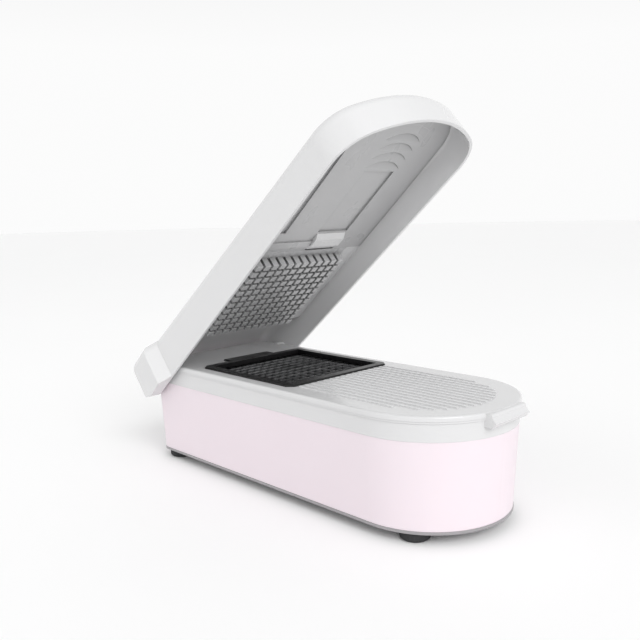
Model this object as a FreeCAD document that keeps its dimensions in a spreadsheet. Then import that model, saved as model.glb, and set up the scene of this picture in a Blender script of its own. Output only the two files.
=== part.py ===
"""Press-lid vegetable chopper: tub, lift-off cutting tray, blade cassette and hinged pusher lid.

Millimetres. +X points to the round front end, +Y to the far side, +Z up, with Z = 0 on the table.
The lid group is modelled shut and then turned about the hinge by its Placement.
"""
import FreeCAD, Part
import Sketcher
import math
import os

# Driving sizes: alias, value, what it measures.
SIZES = [
    ("origin_from_rear", 139.6, "tray's rear edge to the origin"),
    ("tray_length", 289.4, "tray, rear edge to round front"),
    ("tray_width", 118.0, "tray over its lip"),
    ("tray_corner", 11.0, "tray's rear corner radius in plan"),
    ("deck_thickness", 2.2, "top plate of the tray"),
    ("lip_height", 3.2, "rolled edge of the tray"),
    ("lip_round", 1.5, "radius along the top of the lip"),
    ("skirt_inset", 1.1, "skirt set in from the lip"),
    ("skirt_depth", 15.5, "deck top to the skirt's lower edge"),
    ("bead_height", 1.4, "shallow bead under the lip"),
    ("bead_inset", 0.5, "bead set in from the lip"),
    ("spigot_depth", 6.0, "locating wall that drops into the tub"),
    ("spigot_wall", 1.6, "thickness of the locating wall"),
    ("spigot_gap", 0.3, "clearance between locating wall and tub"),
    ("tub_height", 54.8, "tub above its base plate"),
    ("tub_inset", 0.2, "tub's top edge set in from the skirt"),
    ("tub_wall", 2.2, "tub wall and floor"),
    ("tub_draft", 3.3, "draft angle of the tub's walls, degrees"),
    ("base_thickness", 1.8, "base plate"),
    ("base_proud", 0.3, "base plate beyond the tub's foot"),
    ("foot_height", 6.4, "rubber foot below the base plate"),
    ("foot_radius", 9.5, "rubber foot"),
    ("foot_round", 2.0, "rounded lower edge of a foot"),
    ("stem_radius", 3.8, "stem that holds a foot"),
    ("stem_gap", 0.05, "clearance round a stem"),
    ("foot_inset", 20.5, "front foot centre in from the tray's side"),
    ("rear_foot_side", 16.0, "rear foot centre in from the tray's side"),
    ("rear_foot_inset", 14.5, "rear feet from the tray's rear edge"),
    ("front_foot_inset", 38.0, "front feet from the tray's front"),
    ("cassette_centre", 106.0, "cassette centre from the tray's rear edge"),
    ("flange_margin", 3.0, "cassette's flange beyond its wall"),
    ("cassette_chamfer", 4.5, "flange's cut corners"),
    ("cassette_rise", 1.2, "flange above the deck"),
    ("flange_round", 0.8, "radius along the top of the flange"),
    ("seat_depth", 1.0, "recess that the flange lies in"),
    ("cassette_gap", 0.3, "clearance round the cassette"),
    ("cassette_wall", 1.8, "wall round the blades"),
    ("grip_width", 44.0, "lifting tab of the cassette"),
    ("grip_reach", 9.0, "lifting tab beyond the flange"),
    ("cell_pitch", 7.25, "square cell of the blade grid"),
    ("cell_count", 12, "cells along each side"),
    ("blade_thickness", 0.5, "steel strip"),
    ("blade_height", 9.0, "steel strip"),
    ("blade_grind", 1.2, "ground bevel below a strip's cutting edge"),
    ("blade_edge", 0.12, "cutting edge left by the grind"),
    ("blade_drop", 2.0, "deck top down to the cutting edges"),
    ("blade_hold", 1.5, "strip held in the frame at each end"),
    ("blade_gap", 0.2, "clearance round the strips' ends"),
    ("slot_gap", 0.1, "half-lap slot wider than a strip, each side"),
    ("retainer_thickness", 2.5, "lower frame of the cassette"),
    ("rib_count", 16, "fine ribs on the front deck"),
    ("rib_pitch", 5.7, "rib spacing"),
    ("rib_width", 2.0, "one rib"),
    ("rib_height", 0.6, "one rib"),
    ("rib_margin", 15.5, "ribs' round end in from the lip"),
    ("rib_start", 2.0, "ribs from the cassette's flange"),
    ("pull_width", 36.0, "moulded pull lip at the front"),
    ("pull_reach", 4.2, "pull lip beyond the tray"),
    ("pull_depth", 8.7, "pull lip below the deck"),
    ("pull_face", 1.5, "pull lip's upright part beyond the tray"),
    ("pull_round", 1.5, "radius along the top of the pull lip"),
    ("pull_drop", 0.4, "top of the pull lip below the deck"),
    ("pull_curl", 2.0, "rise of the pull lip's underside"),
    ("pull_edge", 1.0, "blunt edge of the pull lip"),
    ("pull_root", 5.0, "pull lip's root inside the tray's front"),
    ("hinge_from_rear", 22.5, "hinge axis from the tray's rear edge"),
    ("hinge_drop", 4.0, "hinge axis below the deck"),
    ("pin_radius", 2.5, "hinge pin"),
    ("pin_clearance", 0.05, "running clearance in the tray"),
    ("pin_hold", 4.0, "pin pressed into the lid's ear"),
    ("boss_radius", 5.2, "hinge boss"),
    ("hinge_gap", 0.4, "tray's boss to the lid's wall"),
    ("lid_open", 40.5, "lid angle as it stands, degrees"),
    ("lid_side_gap", 2.3, "tray's lip to the lid's side wall"),
    ("lid_front_gap", 1.95, "pull lip's corners to the lid's nose"),
    ("lid_wall", 2.2, "lid's walls"),
    ("lid_roof", 2.6, "lid's roof"),
    ("rim_gap", 0.65, "shut lid's rim above the top of the tub"),
    ("lid_tail", 9.4, "shut lid behind the tray's rear edge"),
    ("lid_rear_height", 36.0, "lid at its tail"),
    ("lid_front_height", 25.7, "lid at its nose"),
    ("lid_corner", 32.0, "nose corner radius in plan"),
    ("lid_nose", 95.0, "nose radius in plan"),
    ("lid_round", 9.0, "edge between roof and walls"),
    ("ear_proud", 8.0, "ear beyond the lid's side wall"),
    ("ear_round", 15.0, "rounded lower rear corner of an ear"),
    ("ear_length", 31.0, "ears' flat outer faces"),
    ("ear_flare", 9.0, "length over which a wall flares out to an ear"),
    ("ear_taper", 1.5, "ears' outer faces lean in towards the tail"),
    ("tail_corner", 7.0, "tail corner radius in plan"),
    ("tail_wall_edge", 17.5, "tail wall's lower edge above the rim"),
    ("peg_size", 4.7, "square peg"),
    ("peg_length", 7.5, "square peg"),
    ("peg_engagement", 1.85, "peg tips below the blades' edges when shut"),
    ("pusher_plate", 2.2, "plate that carries the pegs"),
    ("pusher_side", 6.0, "pusher plate beyond the pegs, each side"),
    ("pusher_margin", 5.5, "pusher plate beyond the pegs, front and rear"),
    ("pusher_wall", 2.0, "wall round the back of the plate"),
    ("pusher_top_gap", 0.45, "pusher plate's wall to the lid's roof"),
    ("rail_thickness", 2.0, "ceiling strip that holds the pusher plate"),
    ("rail_toe", 1.6, "strip's toe under the plate's stepped edge"),
    ("rail_gap", 0.25, "clearance between strip and plate"),
    ("detail_offset", 16.5, "tab, panel and grips to the far side of the middle"),
    ("latch_width", 28.5, "release tab of the pusher plate"),
    ("latch_length", 17.0, "release tab along the lid"),
    ("latch_travel", 1.5, "release tab's travel"),
    ("latch_gap", 0.3, "release tab's clearance all round"),
    ("latch_drop", 2.2, "release tab's nose below the ceiling"),
    ("latch_bevel", 4.5, "sloping front of the release tab"),
    ("latch_shelf", 4.6, "flush rear part of the release tab"),
    ("liner_gap", 0.2, "clearance round the lid's liner"),
    ("liner_wall", 2.6, "liner's face and walls"),
    ("liner_rise", 2.8, "liner's face rises towards the nose"),
    ("ridge_start", 4.6, "ridge from the liner's rear edge"),
    ("ridge_length", 6.5, "ridge along the lid"),
    ("ridge_span", 48.0, "ridge across the lid"),
    ("ridge_height", 1.0, "ridge below the liner's face"),
    ("panel_length", 61.0, "long recessed panel"),
    ("panel_width", 30.0, "long recessed panel"),
    ("panel_gap", 1.5, "long recessed panel from the release tab"),
    ("recess_depth", 1.4, "recesses in the liner's face"),
    ("step_length", 84.0, "recessed band along the near wall"),
    ("step_width", 32.0, "recessed band along the near wall"),
    ("grip_count", 4, "crescent grooves at the nose"),
    ("grip_pitch", 8.3, "spacing of the crescents"),
    ("grip_from_tip", 37.0, "foremost crescent's straight side from the nose"),
    ("grip_radius", 26.0, "curve of a crescent"),
    ("grip_span", 35.0, "crescent across"),
    ("grip_depth", 2.0, "crescent groove at its curved side"),
    ("overshoot", 20.0, "cutting shapes beyond what they cut"),
]

doc = FreeCAD.newDocument("chopper")
sheet = doc.addObject("Spreadsheet::Sheet", "sizes")
sheet.Label = "sizes"
for row, (alias, value, meaning) in enumerate(SIZES, start=1):
    sheet.set(f"A{row}", meaning)
    sheet.set(f"B{row}", str(value))
    sheet.setAlias(f"B{row}", alias)
doc.recompute()


class Size:
    """A number together with the spreadsheet expression that gives it."""

    def __init__(self, value, text):
        self.value = float(value)
        self.text = text

    def join(self, other, sign, value):
        return Size(value, f"({self.text} {sign} {as_size(other).text})")

    def __add__(self, other):
        return self.join(other, "+", self.value + as_size(other).value)

    def __sub__(self, other):
        return self.join(other, "-", self.value - as_size(other).value)

    def __mul__(self, other):
        return self.join(other, "*", self.value * as_size(other).value)

    def __truediv__(self, other):
        return self.join(other, "/", self.value / as_size(other).value)

    def __neg__(self):
        return Size(-self.value, f"(0 - {self.text})")


def as_size(number):
    """A plain number as a Size; a Size stays as it is."""
    return number if isinstance(number, Size) else Size(number, repr(float(number)))


def root(size):
    return Size(math.sqrt(size.value), f"sqrt({size.text})")


def tangent(degrees):
    return Size(math.tan(math.radians(degrees.value)), f"tan({degrees.text} * 1 deg)")


class Sizes:
    """Reads an alias of the sheet as a Size."""

    def __getattr__(self, alias):
        return Size(getattr(sheet, alias), f"sizes.{alias}")


z = Sizes()


# ---------------------------------------------------------------- helpers

def plane_of(body, role):
    return next(item for item in body.Origin.OriginFeatures if item.Role == role)


def new_body(name):
    body = doc.addObject("PartDesign::Body", name)
    body.Label = name
    return body


def bind(item, name, size):
    item.setExpression(name, as_size(size).text)


def new_sketch(body, name, role="XY_Plane", height=0.0):
    """A sketch on one of the body's own planes, moved along its normal."""
    sketch = body.newObject("Sketcher::SketchObject", name)
    sketch.AttachmentSupport = [(plane_of(body, role), "")]
    sketch.MapMode = "FlatFace"
    bind(sketch, "AttachmentOffset.Base.z", height)
    return sketch


def fix_point(sketch, geometry, position, x, y):
    """Ties one point of the sketch to the sketch's origin by bound distances."""
    for kind, axis, size in (("DistanceX", -2, x), ("DistanceY", -1, y)):
        if size is None:
            continue
        if abs(size.value) < 1e-9:
            sketch.addConstraint(Sketcher.Constraint("PointOnObject", geometry, position, axis))
            continue
        index = sketch.addConstraint(
            Sketcher.Constraint(kind, -1, 1, geometry, position, size.value))
        sketch.setExpression(f"Constraints[{index}]", size.text)


def draw(sketch, corners, centres=None):
    """Closed outline, anticlockwise; centres holds an arc's centre by the corner it starts from."""
    centres = centres or {}
    corners = [(as_size(x), as_size(y)) for x, y in corners]
    spots = [FreeCAD.Vector(x.value, y.value, 0) for x, y in corners]
    first = sketch.GeometryCount
    count = len(spots)
    for index, start in enumerate(spots):
        end = spots[(index + 1) % count]
        if index in centres:
            centre = FreeCAD.Vector(*[as_size(value).value for value in centres[index]], 0)
            circle = Part.Circle(centre, FreeCAD.Vector(0, 0, 1), (start - centre).Length)
            angles = [math.atan2(*(point - centre)[1::-1]) for point in (start, end)]
            sketch.addGeometry(Part.ArcOfCircle(circle, *angles))
        else:
            sketch.addGeometry(Part.LineSegment(start, end))
    for index in range(count):
        following = (index + 1) % count
        sketch.addConstraint(Sketcher.Constraint("Coincident", first + index, 2, first + following, 1))
        fix_point(sketch, first + index, 1, *corners[index])
        if index in centres:
            fix_point(sketch, first + index, 3, as_size(centres[index][0]), None)


def draw_box(sketch, low_x, high_x, low_y, high_y):
    draw(sketch, [(low_x, low_y), (high_x, low_y), (high_x, high_y), (low_x, high_y)])


def draw_circle(sketch, x, y, radius):
    x, y, radius = (as_size(value) for value in (x, y, radius))
    centre = FreeCAD.Vector(x.value, y.value, 0)
    index = sketch.addGeometry(Part.Circle(centre, FreeCAD.Vector(0, 0, 1), radius.value))
    fix_point(sketch, index, 3, x, y)
    held = sketch.addConstraint(Sketcher.Constraint("Radius", index, radius.value))
    sketch.setExpression(f"Constraints[{held}]", radius.text)


def draw_tub_plan(sketch, rear, front, half, corner):
    """Plan with a half-round front and two rounded rear corners."""
    middle = front - half
    draw(
        sketch,
        [(rear + corner, -half), (middle, -half), (front, 0), (middle, half),
         (rear + corner, half), (rear, half - corner), (rear, -half + corner)],
        {1: (middle, 0), 2: (middle, 0), 4: (rear + corner, half - corner),
         6: (rear + corner, -half + corner)},
    )


def draw_lid_plan(sketch, inset, flank, rear, tail_half):
    """The lid's plan set in all round; flank holds the corners of one side, from the nose backwards."""
    tip = lid_tip - inset
    half = lid_half - inset
    corner = z.lid_corner - inset
    nose = z.lid_nose - inset
    tail = z.tail_corner - inset
    centre = tip - nose
    reach = nose - corner
    offset = half - corner
    middle = centre + root(reach * reach - offset * offset)
    touch_x = centre + nose * (middle - centre) / reach
    touch_y = nose * offset / reach
    mirrored = [(x, -y) for x, y in reversed(flank)]
    corners = mirrored + [(middle, -half), (touch_x, -touch_y), (touch_x, touch_y), (middle, half)] + flank
    bend = len(mirrored)
    last = len(corners)
    corners += [(rear + tail, tail_half), (rear, tail_half - tail), (rear, -tail_half + tail),
                (rear + tail, -tail_half)]
    draw(sketch, corners, {
        bend: (middle, -offset), bend + 1: (centre, 0), bend + 2: (middle, offset),
        last: (rear + tail, tail_half - tail), last + 2: (rear + tail, -tail_half + tail)})


def add_pad(body, sketch, name, length, reverse=False, both_sides=False, taper=None):
    pad = body.newObject("PartDesign::Pad", name)
    pad.Profile = sketch
    bind(pad, "Length", length)
    pad.Reversed = reverse
    if both_sides:
        pad.SideType = "Symmetric"
    if taper is not None:
        bind(pad, "TaperAngle", taper)
    doc.recompute()
    return pad


def add_pocket(body, sketch, name, length, reverse=False, both_sides=False, taper=None):
    """Cuts the body and makes sure that something was cut."""
    before = body.Shape.Volume
    pocket = body.newObject("PartDesign::Pocket", name)
    pocket.Profile = sketch
    bind(pocket, "Length", length)
    pocket.Reversed = reverse
    if both_sides:
        pocket.SideType = "Symmetric"
    if taper is not None:
        bind(pocket, "TaperAngle", taper)
    doc.recompute()
    if body.Shape.Volume > before - 0.01:
        raise RuntimeError(f"{name} cuts nothing")
    return pocket


def add_fillet(body, name, radius, chosen):
    """Rounds the edges of the body for which chosen(edge) holds."""
    base = body.Tip
    names = [f"Edge{number}" for number, edge in enumerate(base.Shape.Edges, start=1) if chosen(edge)]
    fillet = body.newObject("PartDesign::Fillet", name)
    fillet.Base = (base, names)
    bind(fillet, "Radius", radius)
    doc.recompute()
    return fillet


def level_edge(height):
    """Edges that lie flat at a height."""
    level = as_size(height).value
    return lambda edge: max(abs(edge.BoundBox.ZMin - level), abs(edge.BoundBox.ZMax - level)) < 0.01


def repeat(body, feature, name, direction, gaps, spacing):
    """The feature repeated along a plane's normal, gaps times after the first."""
    pattern = body.newObject("PartDesign::LinearPattern", name)
    pattern.Originals = [feature]
    pattern.Direction = (plane_of(body, direction), [""])
    bind(pattern, "Length", spacing * gaps)
    bind(pattern, "Occurrences", gaps + 1)
    body.Tip = pattern
    doc.recompute()
    return pattern


def join(kind, name, pieces):
    """A Part boolean: Part::MultiFuse of any number, or Part::Cut or Part::Common of two."""
    result = doc.addObject(kind, name)
    if kind == "Part::MultiFuse":
        result.Shapes = pieces
    else:
        result.Base, result.Tool = pieces
    result.Label = name
    doc.recompute()
    return result


# ---------------------------------------------------------------- shared places

tray_rear = -z.origin_from_rear
tray_front = tray_rear + z.tray_length
half_width = z.tray_width / 2
base_top = z.foot_height + z.base_thickness
tub_top = base_top + z.tub_height
deck_top = tub_top + z.skirt_depth
skirt_half = half_width - z.skirt_inset
tub_half = skirt_half - z.tub_inset
spigot_half = tub_half - z.tub_wall - z.spigot_gap - z.spigot_depth * tangent(z.tub_draft)
spigot_bottom = tub_top - z.spigot_depth
foot_half = tub_half - z.tub_height * tangent(z.tub_draft)
cassette_x = tray_rear + z.cassette_centre
hinge_x = tray_rear + z.hinge_from_rear
hinge_z = deck_top - z.hinge_drop
rim_z = tub_top + z.rim_gap
lid_inner = half_width + z.lid_side_gap
lid_half = lid_inner + z.lid_wall
ear_half = lid_half + z.ear_proud
nose_inner = z.lid_nose - z.lid_wall
nose_bow = nose_inner - root(nose_inner * nose_inner - z.pull_width * z.pull_width / 4)
lid_tip = tray_front + z.pull_reach + z.lid_front_gap + nose_bow + z.lid_wall
lid_rear = tray_rear - z.lid_tail
opening_half = z.cell_pitch * z.cell_count / 2
strip_half = opening_half + z.blade_hold
nest_half = strip_half + z.blade_gap
frame_half = nest_half + z.cassette_wall
cassette_half = frame_half + z.flange_margin
blade_top = deck_top - z.blade_drop
blade_bottom = blade_top - z.blade_height
peg_span = z.cell_pitch * (z.cell_count - 1) + z.peg_size
peg_tips = blade_top - z.peg_engagement
plate_face = peg_tips + z.peg_length
plate_rear = cassette_x - peg_span / 2 - z.pusher_margin
plate_front = cassette_x + peg_span / 2 + z.pusher_margin
pusher_half = peg_span / 2 + z.pusher_side
latch_rear = plate_front + z.latch_travel + z.latch_gap
latch_front = latch_rear + z.latch_length
liner_rear = plate_front + z.liner_gap
shut_to_open = FreeCAD.Placement(
    FreeCAD.Vector(),
    FreeCAD.Rotation(FreeCAD.Vector(0, -1, 0), z.lid_open.value),
    FreeCAD.Vector(hinge_x.value, 0, hinge_z.value),
)


def plan_inset(inset):
    """Rear, front, half width and corner of the tray's plan set in all round."""
    return tray_rear + inset, tray_front - inset, half_width - inset, z.tray_corner - inset


# ---------------------------------------------------------------- tub, base plate and feet

def make_tub():
    body = new_body("container")
    mouth = new_sketch(body, "container_mouth", height=tub_top)
    draw_tub_plan(mouth, *plan_inset(z.skirt_inset + z.tub_inset))
    add_pad(body, mouth, "container_block", z.tub_height, reverse=True, taper=-z.tub_draft)
    hollow = new_sketch(body, "container_hollow_outline", height=tub_top)
    draw_tub_plan(hollow, *plan_inset(z.skirt_inset + z.tub_inset + z.tub_wall))
    add_pocket(body, hollow, "container_hollow", z.tub_height - z.tub_wall, taper=-z.tub_draft)
    return body


def foot_places():
    front_side = half_width - z.foot_inset
    rear_side = half_width - z.rear_foot_side
    front = tray_front - z.front_foot_inset
    rear = tray_rear + z.rear_foot_inset
    return {
        "foot_front_near": (front, -front_side),
        "foot_front_far": (front, front_side),
        "foot_rear_near": (rear, -rear_side),
        "foot_rear_far": (rear, rear_side),
    }


def make_base_plate():
    body = new_body("base_plate")
    outline = new_sketch(body, "base_outline", height=z.foot_height)
    inset = half_width - foot_half - z.base_proud
    draw_tub_plan(outline, *plan_inset(inset))
    add_pad(body, outline, "base_sheet", z.base_thickness)
    holes = new_sketch(body, "base_stem_holes", height=z.foot_height)
    for x, y in foot_places().values():
        draw_circle(holes, x, y, z.stem_radius + z.stem_gap)
    add_pocket(body, holes, "base_holes", z.base_thickness, reverse=True)
    return body


def make_foot(name, x, y):
    body = new_body(name)
    profile = new_sketch(body, f"{name}_profile", role="XZ_Plane", height=-y)
    low = z.foot_round
    draw(
        profile,
        [(x, 0), (x + z.foot_radius - low, 0), (x + z.foot_radius, low), (x + z.foot_radius, z.foot_height),
         (x + z.stem_radius, z.foot_height), (x + z.stem_radius, base_top), (x, base_top)],
        {1: (x + z.foot_radius - low, low)},
    )
    turn = body.newObject("PartDesign::Revolution", f"{name}_turned")
    turn.Profile = profile
    spine = profile.addGeometry(Part.LineSegment(
        FreeCAD.Vector(x.value, -1, 0), FreeCAD.Vector(x.value, base_top.value + 1, 0)), True)
    profile.addConstraint(Sketcher.Constraint("Vertical", spine))
    fix_point(profile, spine, 1, x, None)
    turn.ReferenceAxis = (profile, ["Axis0"])
    turn.Angle = 360
    doc.recompute()
    return body


# ---------------------------------------------------------------- tray

def make_tray():
    body = new_body("tray")
    lip = new_sketch(body, "tray_lip_outline", height=deck_top)
    draw_tub_plan(lip, *plan_inset(as_size(0)))
    add_pad(body, lip, "tray_lip", z.lip_height, reverse=True)
    add_fillet(body, "tray_lip_roll", z.lip_round, level_edge(deck_top))
    bead = new_sketch(body, "tray_bead_outline", height=deck_top - z.lip_height)
    draw_tub_plan(bead, *plan_inset(z.bead_inset))
    add_pad(body, bead, "tray_bead", z.bead_height, reverse=True)
    skirt = new_sketch(body, "tray_skirt_outline", height=deck_top - z.lip_height - z.bead_height)
    draw_tub_plan(skirt, *plan_inset(z.skirt_inset))
    add_pad(body, skirt, "tray_skirt", z.skirt_depth - z.lip_height - z.bead_height, reverse=True)
    spigot = new_sketch(body, "tray_spigot_outline", height=tub_top)
    inset = half_width - spigot_half
    draw_tub_plan(spigot, *plan_inset(inset))
    add_pad(body, spigot, "tray_spigot", z.spigot_depth, reverse=True)
    hollow = new_sketch(body, "tray_hollow_outline", height=spigot_bottom)
    draw_tub_plan(hollow, *plan_inset(inset + z.spigot_wall))
    add_pocket(body, hollow, "tray_hollow", z.spigot_depth + z.skirt_depth - z.deck_thickness, reverse=True)
    add_pull_lip(body)
    add_hinge_sockets(body)
    add_cassette_seat(body)
    add_ribs(body)
    return body


def add_pull_lip(body):
    """The curled lip at the middle of the tray's front edge."""
    profile = new_sketch(body, "tray_pull_profile", role="XZ_Plane")
    back = tray_front - z.pull_root
    face = tray_front + z.pull_face
    tip = tray_front + z.pull_reach
    top = deck_top - z.pull_drop
    foot = deck_top - z.pull_depth
    low = foot + z.pull_curl
    high = low + z.pull_edge * 2
    draw(
        profile,
        [(back, foot), (face, foot), (tip - z.pull_edge, low), (tip, low + z.pull_edge), (tip - z.pull_edge, high),
         (face, high + z.pull_curl), (face, top - z.pull_round), (face - z.pull_round, top), (back, top)],
        {6: (face - z.pull_round, top - z.pull_round)},
    )
    add_pad(body, profile, "tray_pull", z.pull_width, both_sides=True)


def add_hinge_sockets(body):
    """Bosses on both sides of the skirt, bored through for the lid's pins."""
    reach = lid_inner - z.hinge_gap
    depth = reach - spigot_half + z.spigot_wall
    for side, name in ((-1, "near"), (1, "far")):
        boss = new_sketch(body, f"tray_boss_{name}", role="XZ_Plane", height=reach * -side)
        draw_circle(boss, hinge_x, hinge_z, z.boss_radius)
        add_pad(body, boss, f"tray_boss_{name}_pad", depth, reverse=side < 0)
    bore = new_sketch(body, "tray_bores", role="XZ_Plane")
    draw_circle(bore, hinge_x, hinge_z, z.pin_radius + z.pin_clearance)
    add_pocket(body, bore, "tray_bore", reach * 2 + z.overshoot, both_sides=True)


def add_cassette_seat(body):
    half = cassette_half + z.cassette_gap
    seat = new_sketch(body, "tray_seat_outline", height=deck_top)
    draw_chamfered(seat, cassette_x, half, z.cassette_chamfer)
    add_pocket(body, seat, "tray_seat", z.seat_depth)
    half = frame_half + z.cassette_gap
    hole = new_sketch(body, "tray_hole_outline", height=deck_top)
    draw_box(hole, cassette_x - half, cassette_x + half, -half, half)
    add_pocket(body, hole, "tray_hole", z.deck_thickness + z.seat_depth)
    grip = new_sketch(body, "tray_grip_outline", height=deck_top)
    rear = cassette_x - cassette_half
    side = z.grip_width / 2 + z.cassette_gap
    draw_box(grip, rear - z.grip_reach - z.cassette_gap, rear + z.flange_margin, -side, side)
    add_pocket(body, grip, "tray_grip_seat", z.seat_depth)


def add_ribs(body):
    """Fine ribs along the front deck, which end on an arc concentric with the tray's front."""
    ribs = new_sketch(body, "tray_rib_outlines", height=deck_top)
    centre = tray_front - half_width
    reach = half_width - z.rib_margin
    start = cassette_x + cassette_half + z.rib_start
    for number in range(int(z.rib_count.value)):
        middle = z.rib_pitch * (as_size(number) - (z.rib_count - 1) / 2)
        end = centre + root(reach * reach - middle * middle)
        draw_box(ribs, start, end, middle - z.rib_width / 2, middle + z.rib_width / 2)
    add_pad(body, ribs, "tray_ribs", z.rib_height)


def draw_chamfered(sketch, centre, half, cut):
    """Square with cut corners, centred on the X axis."""
    inner = half - cut
    draw(sketch, [
        (centre - inner, -half), (centre + inner, -half), (centre + half, -inner), (centre + half, inner),
        (centre + inner, half), (centre - inner, half), (centre - half, inner), (centre - half, -inner)])


# ---------------------------------------------------------------- cassette

def make_cassette_frame():
    body = new_body("cassette_frame")
    top = deck_top + z.cassette_rise
    flange = new_sketch(body, "cassette_flange_outline", height=top)
    draw_chamfered(flange, cassette_x, cassette_half, z.cassette_chamfer)
    add_pad(body, flange, "cassette_flange", z.cassette_rise + z.seat_depth, reverse=True)
    grip = new_sketch(body, "cassette_grip_outline", height=top)
    rear = cassette_x - cassette_half
    draw_box(grip, rear - z.grip_reach, rear + z.flange_margin, -z.grip_width / 2, z.grip_width / 2)
    add_pad(body, grip, "cassette_grip", z.cassette_rise + z.seat_depth, reverse=True)
    add_fillet(body, "cassette_edge", z.flange_round, level_edge(top))
    wall = new_sketch(body, "cassette_wall_outline", height=deck_top - z.seat_depth)
    draw_box(wall, cassette_x - frame_half, cassette_x + frame_half, -frame_half, frame_half)
    add_pad(body, wall, "cassette_wall", deck_top - z.seat_depth - blade_bottom, reverse=True)
    opening = new_sketch(body, "cassette_opening", height=top)
    draw_box(opening, cassette_x - opening_half, cassette_x + opening_half, -opening_half, opening_half)
    add_pocket(body, opening, "cassette_window", z.cassette_rise + z.blade_drop + z.blade_height)
    nest = new_sketch(body, "cassette_nest_outline", height=blade_bottom)
    draw_box(nest, cassette_x - nest_half, cassette_x + nest_half, -nest_half, nest_half)
    add_pocket(body, nest, "cassette_nest", z.blade_height, reverse=True)
    return body


def make_cassette_retainer():
    body = new_body("cassette_retainer")
    ring = new_sketch(body, "retainer_outline", height=blade_bottom)
    draw_box(ring, cassette_x - frame_half, cassette_x + frame_half, -frame_half, frame_half)
    add_pad(body, ring, "retainer_ring", z.retainer_thickness, reverse=True)
    opening = new_sketch(body, "retainer_opening", height=blade_bottom)
    draw_box(opening, cassette_x - opening_half, cassette_x + opening_half, -opening_half, opening_half)
    add_pocket(body, opening, "retainer_window", z.retainer_thickness)
    return body


def make_strip(name, lengthwise):
    """One steel strip with a ground edge and half-lap slots, standing on the middle of the grid."""
    body = new_body(name)
    along, across = ("XZ_Plane", "YZ_Plane") if lengthwise else ("YZ_Plane", "XZ_Plane")
    middle = as_size(0) if lengthwise else cassette_x
    thick = z.blade_thickness / 2
    edge = z.blade_edge / 2
    shoulder = blade_top - z.blade_grind
    section = new_sketch(body, f"{name}_section", role=across, height=cassette_x - middle)
    draw(section, [(middle - thick, blade_bottom), (middle + thick, blade_bottom), (middle + thick, shoulder),
                   (middle + edge, blade_top), (middle - edge, blade_top), (middle - thick, shoulder)])
    add_pad(body, section, f"{name}_strip", strip_half * 2, both_sides=True)
    slot = new_sketch(body, f"{name}_slot", role=along, height=middle)
    first = cassette_x - middle - z.cell_pitch * (z.cell_count / 2 - 1)
    wide = thick + z.slot_gap
    half_lap = z.blade_height / 2 + z.slot_gap
    low, high = blade_bottom - z.blade_height, blade_bottom + half_lap
    if lengthwise:
        low, high = blade_top - half_lap, blade_top + z.blade_height
    draw_box(slot, first - wide, first + wide, low, high)
    cut = add_pocket(body, slot, f"{name}_notch", z.cell_pitch, both_sides=True)
    pattern = repeat(body, cut, f"{name}_notches", across, z.cell_count - 2, z.cell_pitch)
    pattern.Reversed = not lengthwise
    doc.recompute()
    return body


def make_strip_group(name, strip, direction):
    """The strip repeated between the cells, each copy a separate solid."""
    copies = []
    for number in range(1, int(z.cell_count.value)):
        offset = z.cell_pitch.value * (number - z.cell_count.value / 2)
        copies.append(strip.Shape.translated(direction * offset))
    group = doc.addObject("Part::Feature", name)
    group.Label = name
    group.Shape = Part.makeCompound(copies)
    return group


# ---------------------------------------------------------------- lid

def roof_level(x, inset):
    """Height of the roof's plane at x, less an inset."""
    slope = (z.lid_rear_height - z.lid_front_height) / (lid_tip - lid_rear)
    return rim_z + z.lid_rear_height - slope * (x - lid_rear) - inset


def liner_level(x):
    """Height of the liner's face at x."""
    return plate_face + z.liner_rise * (x - liner_rear) / (lid_tip - liner_rear)


def add_block(body, name, rear, front, low, high, width, centre=0):
    """A block across the lid whose lower and upper faces follow two heights along it."""
    profile = new_sketch(body, f"{name}_profile", role="XZ_Plane", height=-as_size(centre))
    draw(profile, [(rear, low(rear)), (front, low(front)), (front, high(front)), (rear, high(rear))])
    return add_pad(body, profile, name, width, both_sides=True)


def cut_roof(body, name, inset):
    """Takes the top off a block along the sloping roof plane."""
    wedge = new_sketch(body, f"{name}_roof_wedge", role="XZ_Plane")
    rear = lid_rear - z.overshoot
    front = lid_tip + z.overshoot
    high = rim_z + z.lid_rear_height + z.overshoot
    draw(wedge, [(rear, roof_level(rear, inset)), (front, roof_level(front, inset)), (front, high), (rear, high)])
    add_pocket(body, wedge, f"{name}_roof_cut", ear_half * 2 + z.overshoot, both_sides=True)


def roof_edges(inset):
    """Edges that lie in the sloping roof plane."""
    def chosen(edge):
        ends = [vertex.Point for vertex in edge.Vertexes]
        return all(abs(roof_level(as_size(end.x), inset).value - end.z) < 0.02 for end in ends)
    return chosen


def make_lid_outside():
    """The lid's outer form, solid, with ears that stand out from its walls at the tail."""
    body = new_body("lid_outside")
    plan = new_sketch(body, "lid_outside_plan", height=rim_z)
    ear_front = lid_rear + z.ear_length
    flank = [(ear_front + z.ear_flare, lid_half), (ear_front, ear_half)]
    draw_lid_plan(plan, as_size(0), flank, lid_rear, ear_half - z.ear_taper)
    add_pad(body, plan, "lid_block", z.lid_rear_height + z.overshoot)
    cut_roof(body, "lid", as_size(0))
    add_fillet(body, "lid_shoulder", z.lid_round, roof_edges(as_size(0)))
    corner = new_sketch(body, "lid_ear_corner", role="XZ_Plane")
    rear, low = lid_rear - z.overshoot, rim_z - z.overshoot
    touch_x, touch_z = lid_rear + z.ear_round, rim_z + z.ear_round
    draw_turned_corner(corner, rear, low, touch_x, touch_z)
    add_pocket(body, corner, "lid_ear_rounding", ear_half * 2 + z.overshoot, both_sides=True)
    return body


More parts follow.
